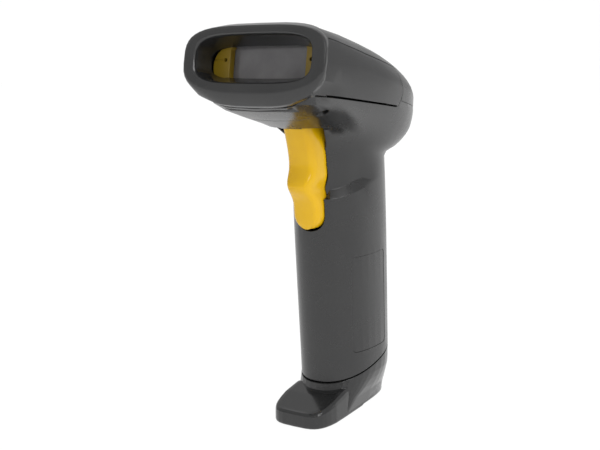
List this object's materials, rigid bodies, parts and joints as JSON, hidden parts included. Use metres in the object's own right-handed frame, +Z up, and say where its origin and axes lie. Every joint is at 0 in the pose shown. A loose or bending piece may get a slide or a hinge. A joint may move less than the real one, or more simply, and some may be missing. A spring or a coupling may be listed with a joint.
{
  "type": "handheld barcode scanner",
  "caption": "Pistol-shaped handheld barcode scanner with a flared hood over its scan window, a pull trigger, and a boot-shaped foot that lets it stand upright.",
  "frame": {"origin": "on the base plane, under the axis of the grip", "axes": "+Z up, -Y the way the scanner looks, +X to the right in the picture"},
  "size_m": [0.0702, 0.102, 0.1724],
  "materials": {
    "housing_plastic": "satin charcoal moulding",
    "hood_plastic": "semi-gloss charcoal moulding",
    "foot_plastic": "semi-gloss dark charcoal moulding",
    "yellow_plastic": "glossy yellow moulding",
    "window": "clear flat pane",
    "lens_glass": "clear lens",
    "inner_plastic": "matt black moulding",
    "plunger_plastic": "milky moulding",
    "circuit_board": "green solder mask",
    "chip_plastic": "matt black",
    "connector_plastic": "matt off-white",
    "led_plastic": "clear tinted casting",
    "steel": "plain steel",
    "contact_brass": "gilt contacts",
    "pad_rubber": "matt rubber",
    "plate_plastic": "satin film, bare"
  },
  "bodies": {
    "housing": {"body_shell": "housing_plastic", "top_cover": "housing_plastic", "front_hood": "hood_plastic", "optic_bezel": "yellow_plastic", "scan_window": "window", "trigger_pin": "steel", "trigger_bracket": "inner_plastic", "bracket_screws": "steel", "trigger_spring": "steel", "switch_body": "inner_plastic", "main_board": "circuit_board", "board_chips": "chip_plastic", "board_connectors": "connector_plastic", "sounder": "chip_plastic", "optic_chassis": "inner_plastic", "chassis_screws": "steel", "underside_screws": "steel", "lens_barrel": "inner_plastic", "imaging_lens": "lens_glass", "sensor_board": "circuit_board", "line_sensor": "chip_plastic", "light_board": "circuit_board", "light_leds": "led_plastic", "light_lens": "lens_glass", "ribbon_cable": "connector_plastic", "status_led": "led_plastic", "status_lens": "plunger_plastic", "foot_cap": "foot_plastic", "foot_screws": "steel", "socket_cover": "foot_plastic", "cable_jack": "chip_plastic", "jack_contacts": "contact_brass", "port_board": "circuit_board", "board_header": "chip_plastic", "base_pads": "pad_rubber", "rating_plate": "plate_plastic"},
    "trigger": {"trigger": "yellow_plastic"},
    "plunger": {"switch_plunger": "plunger_plastic"}
  },
  "joints": [
    {"name": "trigger_pull", "type": "hinge", "parent": "housing", "child": "trigger", "pos_m": [0, -0.017, 0.1255], "axis": [1, 0, 0], "range_deg": [0, 4.5], "stiffness_Nm_per_rad": 1, "deforming": ["trigger_spring"]},
    {"name": "plunger_press", "type": "slide", "parent": "housing", "child": "plunger", "axis": [0, 1, 0], "range_m": [0, 0.001]}
  ],
  "couplings": [
    {"joint": "plunger_press", "follows": "trigger_pull", "m_per_rad": 0.0125}
  ]
}
